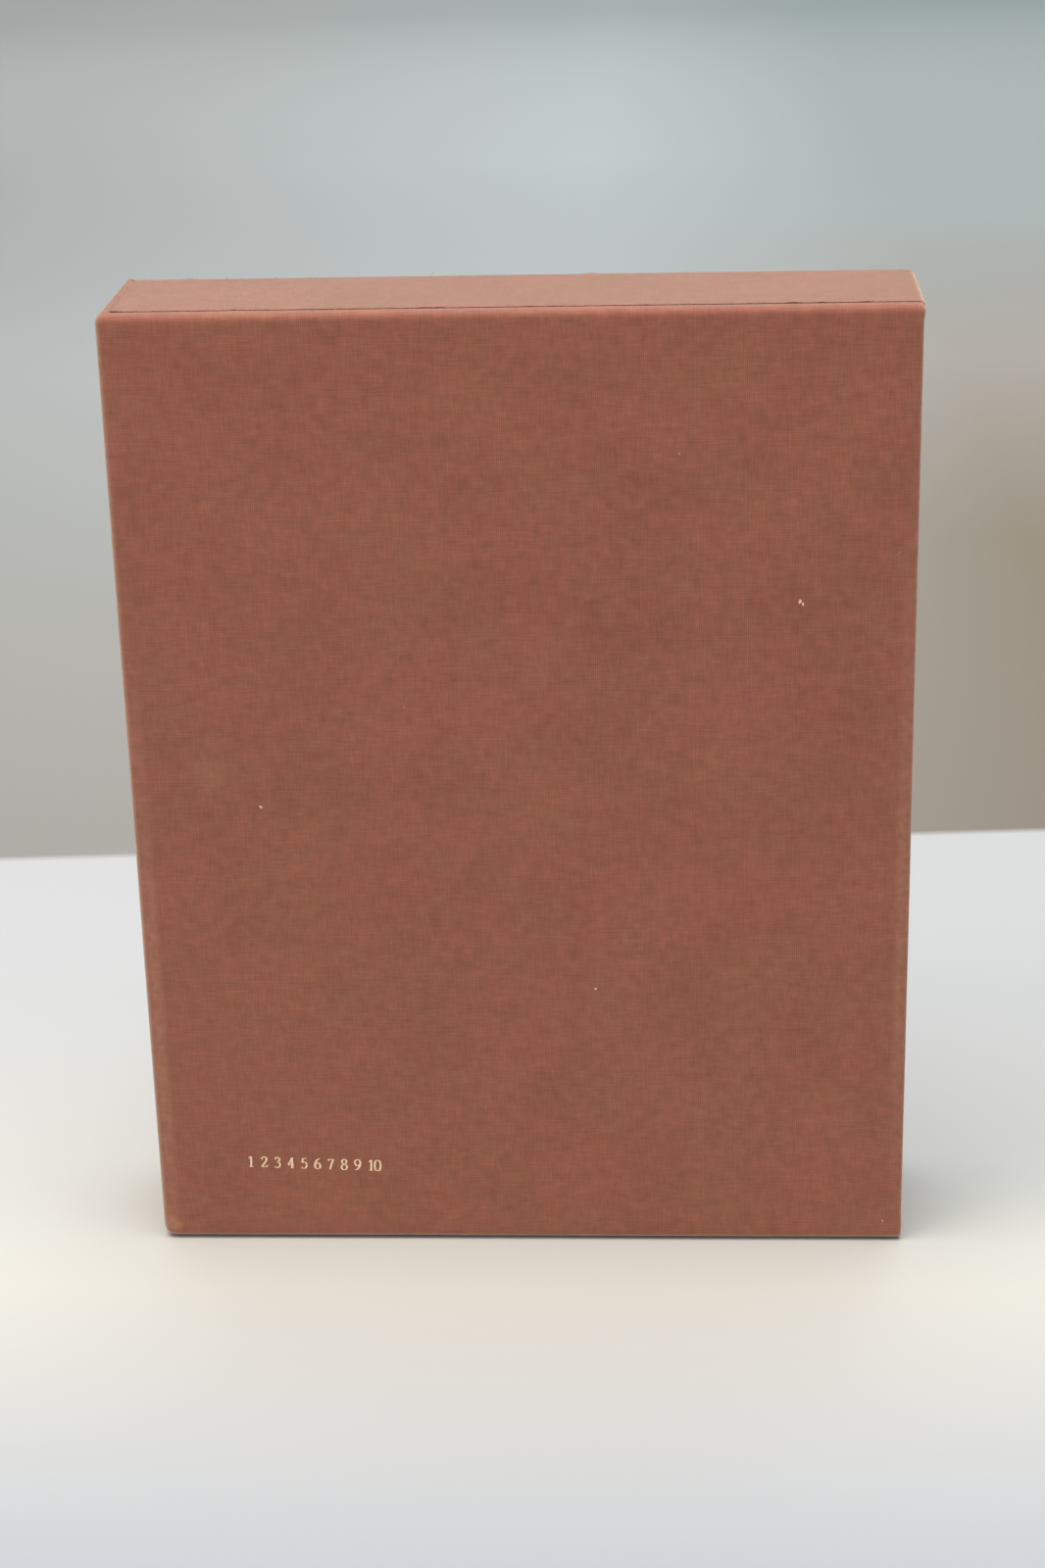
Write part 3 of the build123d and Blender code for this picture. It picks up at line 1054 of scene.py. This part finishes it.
def smooth_line(points, steps=9):
    """A smooth line through a stroke's points."""
    if len(points) == 2:
        return [Vector(p) for p in np.linspace(points[0], points[1], 4)]
    ends = [points[-2] if points[0] == points[-1] else points[0]] + list(points)
    ends += [points[1] if points[0] == points[-1] else points[-1]]
    line = []
    for a, b, c, d in zip(ends, ends[1:], ends[2:], ends[3:]):
        a, b, c, d = map(np.array, (a, b, c, d))
        for t in np.linspace(0, 1, steps, endpoint=False):
            square = (2 * a - 5 * b + 4 * c - d) * t**2
            cube = (3 * b - a - 3 * c + d) * t**3
            line.append(Vector(0.5 * (2 * b + (c - a) * t + square + cube)))
    return line + [Vector(points[-1])]


def stamp(mesh, strokes, left, along, upward):
    """Adds one figure's strokes, thick where they run up and thin where they run across."""
    for number, stroke in enumerate(strokes):
        line = smooth_line(stroke)
        rings = []
        for i, p in enumerate(line):
            ahead = (line[min(i + 1, len(line) - 1)] - line[max(i - 1, 0)]).normalized()
            half = (figure_thin + (figure_thick - figure_thin) * abs(ahead.y) ** thin_strokes) / 2
            ring = []
            for sign, depth in ((1, 1), (-1, 1), (-1, -1), (1, -1)):
                q = p + Vector((-ahead.y, ahead.x)) * half * sign
                spot = left + (along * q.x + upward * q.y) * figure_height
                face_y = -side_y - cloth_rise(Vector((spot.x, -side_y, spot.z)))
                lift = foil + number * foil_step if depth == 1 else -foil_buried
                ring.append(mesh.verts.new((spot.x, face_y - lift, spot.z)))
            rings.append(ring)
        for a, b in zip(rings, rings[1:]):
            for k in range(4):
                mesh.faces.new((a[k], a[(k + 1) % 4], b[(k + 1) % 4], b[k]))
        if stroke[0] == stroke[-1]:
            continue
        mesh.faces.new(rings[0][::-1])
        mesh.faces.new(rings[-1])


row_words = [str(number) for number in range(1, 11)]
row_length = (row_end - row_start).length
row_along = (row_end - row_start).normalized()
row_upward = Vector((-row_along.z, 0, row_along.x))
figure_step = 0.57 * figure_height
glyphs = sum(len(word) for word in row_words)
space = (row_length - glyphs * figure_step) / (len(row_words) - 1)
figure_mesh = bmesh.new()
travelled = 0
for word in row_words:
    for digit in word:
        stamp(figure_mesh, figures[digit], row_start + row_along * travelled, row_along, row_upward)
        travelled += figure_step
    travelled += space
bmesh.ops.recalc_face_normals(figure_mesh, faces=figure_mesh.faces)
figure_data = bpy.data.meshes.new("stamped_figures")
figure_mesh.to_mesh(figure_data)
figure_mesh.free()
stamped = in_scene("stamped_figures", figure_data)

# Pale gold foil: soft metallic, broken here and there over the hollows of the weave.
gold_foil = speckled(
    "pale_gold_foil",
    grain=thread_spacing,
    detail=3,
    stops=[(0.3, "#C0926C"), (0.42, "#F2D4AC"), (0.8, "#FCE6C2")],
    relief=0.05 * mm,
    Metallic=0.35,
    Roughness=0.5,
)
figure_data.materials.append(gold_foil)
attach(stamped, "root")

# The table and the wall behind
# A white table top, whose far edge runs behind the case, and a grey wall out of focus beyond it.
# One sheet of painted board stands for both: its paint changes at the table's edge.

floor_half = 8.0
near_y = -8.0
far_y = 4.5
far_top = 3.0
bend = 1.0
backdrop_line = [(near_y, 0.0)]
backdrop_line += [(far_y - bend + bend * math.sin(a), bend * (1 - math.cos(a))) for a in arc(13)]
backdrop_line += [(far_y, far_top)]
backdrop_data = bpy.data.meshes.new("backdrop")
backdrop_verts = [(x, y, z) for y, z in backdrop_line for x in (-floor_half, floor_half)]
backdrop_faces = [(2 * i, 2 * i + 1, 2 * i + 3, 2 * i + 2) for i in range(len(backdrop_line) - 1)]
backdrop_data.from_pydata(backdrop_verts, [], backdrop_faces)
backdrop_data.shade_smooth()
backdrop = in_scene("backdrop", backdrop_data)

# Painted board: matt. On the table it is near white, with painted light along its depth: lighter
# and warmer round the case for the light thrown back off the case, darker and bluer in front of it
# for the weaker, cooler light there, and lighter again nearest the camera. Behind, grey that is
# greenish, with painted light and shade on the wall: darker next to the table's edge and towards
# the top, palest at the middle, and warmer low down at the right.
table_edge_y = 0.2535
table_front_y = -0.32
table_back_y = 0.25
edge_slope = 0.063
edge_softness = 0.0025
wall_far = 2.65
backdrop_paint_and_light, tree, shader = material("matt_backdrop_paint_and_light", Roughness=0.8, Specular_IOR_Level=0.2)
place = add(tree, "ShaderNodeTexCoord").outputs["Object"]
split = add(tree, "ShaderNodeSeparateXYZ", {"Vector": place})
slanted = maths(tree, "MULTIPLY_ADD", split.outputs["X"], -edge_slope, split.outputs["Y"])
beyond = ranged(tree, slanted, table_edge_y - edge_softness, table_edge_y + edge_softness)
back = ranged(tree, slanted, table_edge_y, wall_far)
# The wall's colours, with its painted light and shade, from the table's edge upward, at the left,
# the middle and the right, and from which x to which x each takes over from the one before
wall = None
for takes_over, stops in (
    (
        None,
        [
            (0.0, "#868580"),
            (0.08, "#908F8A"),
            (0.33, "#A9A9A5"),
            (0.7, "#9B9D9A"),
            (1.0, "#868886"),
        ],
    ),
    (
        (-0.5, -0.05),
        [(0.0, "#8F8C85"), (0.1, "#9B9891"), (0.3, "#B3B6B3"), (0.6, "#ADB2B0"), (1.0, "#848A88")],
    ),
    (
        (-0.02, 0.2),
        [(0.0, "#7C7264"), (0.15, "#887E6E"), (0.3, "#A59E95"), (0.5, "#A2A8A5"), (1.0, "#798181")],
    ),
):
    colour = ramp(tree, back, stops)
    if takes_over:
        share = ranged(tree, split.outputs["X"], *takes_over)
        both = {"Factor": share, "A": wall, "B": colour}
        colour = add(tree, "ShaderNodeMix", both, data_type="RGBA").outputs["Result"]
    wall = colour
# The table's paint along its depth carries painted light: lighter and warmer round the case, darker
# and bluer in front of it, lighter again nearest the camera
along_table = ranged(tree, split.outputs["Y"], table_front_y, table_back_y)
table_stops_with_painted_light = [(0.0, "#BABEC4"), (0.2, "#989EA6"), (0.48, "#C7C4BB"), (0.8, "#B7B7B5")]
table_paint_with_painted_light = ramp(tree, along_table, table_stops_with_painted_light)
both = {"Factor": beyond, "A": table_paint_with_painted_light, "B": wall}
paint = add(tree, "ShaderNodeMix", both, data_type="RGBA")
tree.links.new(paint.outputs["Result"], shader.inputs["Base Color"])
backdrop_data.materials.append(backdrop_paint_and_light)

# The light
# Soft daylight: a window high at the left, so that the case's soft shadow lies at its right, a
# pale ceiling over the camera, and a wash on the wall behind.


def area_light(name, place, target, size, power, colour, spread=180):
    """A soft rectangular light that looks at a point."""
    lamp = bpy.data.lights.new(name, "AREA")
    lamp.shape = "RECTANGLE"
    lamp.size, lamp.size_y = size
    lamp.energy = power
    lamp.spread = math.radians(spread)
    lamp.color = linear(colour)[:3]
    made = in_scene(name, lamp)
    made.location = place
    made.rotation_euler = (Vector(target) - Vector(place)).to_track_quat("-Z", "Y").to_euler()


area_light("left_window", (-0.75, -0.4, 1.5), (0, 0, 0.12), (1.0, 1.0), 17.5, "#FFF8F0")
area_light("pale_ceiling", (0.15, 0.05, 1.8), (0, 0, 0.1), (1.8, 1.2), 38, "#F8FBFF")
area_light("wall_wash", (0.0, 2.4, 2.1), (0, 2.9, 0), (3.0, 1.4), 30, "#FFFFFF", spread=95)
area_light("front_fill", (0.1, -1.6, 0.35), (0, 0, 0.06), (1.8, 0.6), 6.2, "#FFF6EE")
world = bpy.data.worlds.new("soft_room")
world.use_nodes = True
world.node_tree.nodes["Background"].inputs["Color"].default_value = linear("#E2ECF6")
world.node_tree.nodes["Background"].inputs["Strength"].default_value = 0.38
bpy.context.scene.world = world
bpy.context.scene.view_settings.view_transform = "Standard"

# The camera
# A camera fitted to the case's outline in the photograph, taken as 1066 by 1600 pixels.

photo_height = 1600
focal_pixels = 3009.6
film = 36.0
turn, dip, tilt = (math.radians(d) for d in (-3.304, -21.401, -1.480))
eye = Vector((40.49 * mm, -707.12 * mm, 399.69 * mm))
yaw = np.array(
    [[math.cos(turn), -math.sin(turn), 0], [math.sin(turn), math.cos(turn), 0], [0, 0, 1]]
)
pitch = np.array([[1, 0, 0], [0, math.cos(dip), math.sin(dip)], [0, -math.sin(dip), math.cos(dip)]])
roll = np.array(
    [[math.cos(tilt), 0, math.sin(tilt)], [0, 1, 0], [-math.sin(tilt), 0, math.cos(tilt)]]
)
right, forward, up = roll @ pitch @ yaw
camera_data = bpy.data.cameras.new("camera")
camera_data.sensor_width = film
camera_data.lens = focal_pixels * film / photo_height
camera = in_scene("camera", camera_data)
camera.matrix_world = Matrix(
    [
        [right[0], up[0], -forward[0], eye.x],
        [right[1], up[1], -forward[1], eye.y],
        [right[2], up[2], -forward[2], eye.z],
        [0, 0, 0, 1],
    ]
)
bpy.context.scene.camera = camera
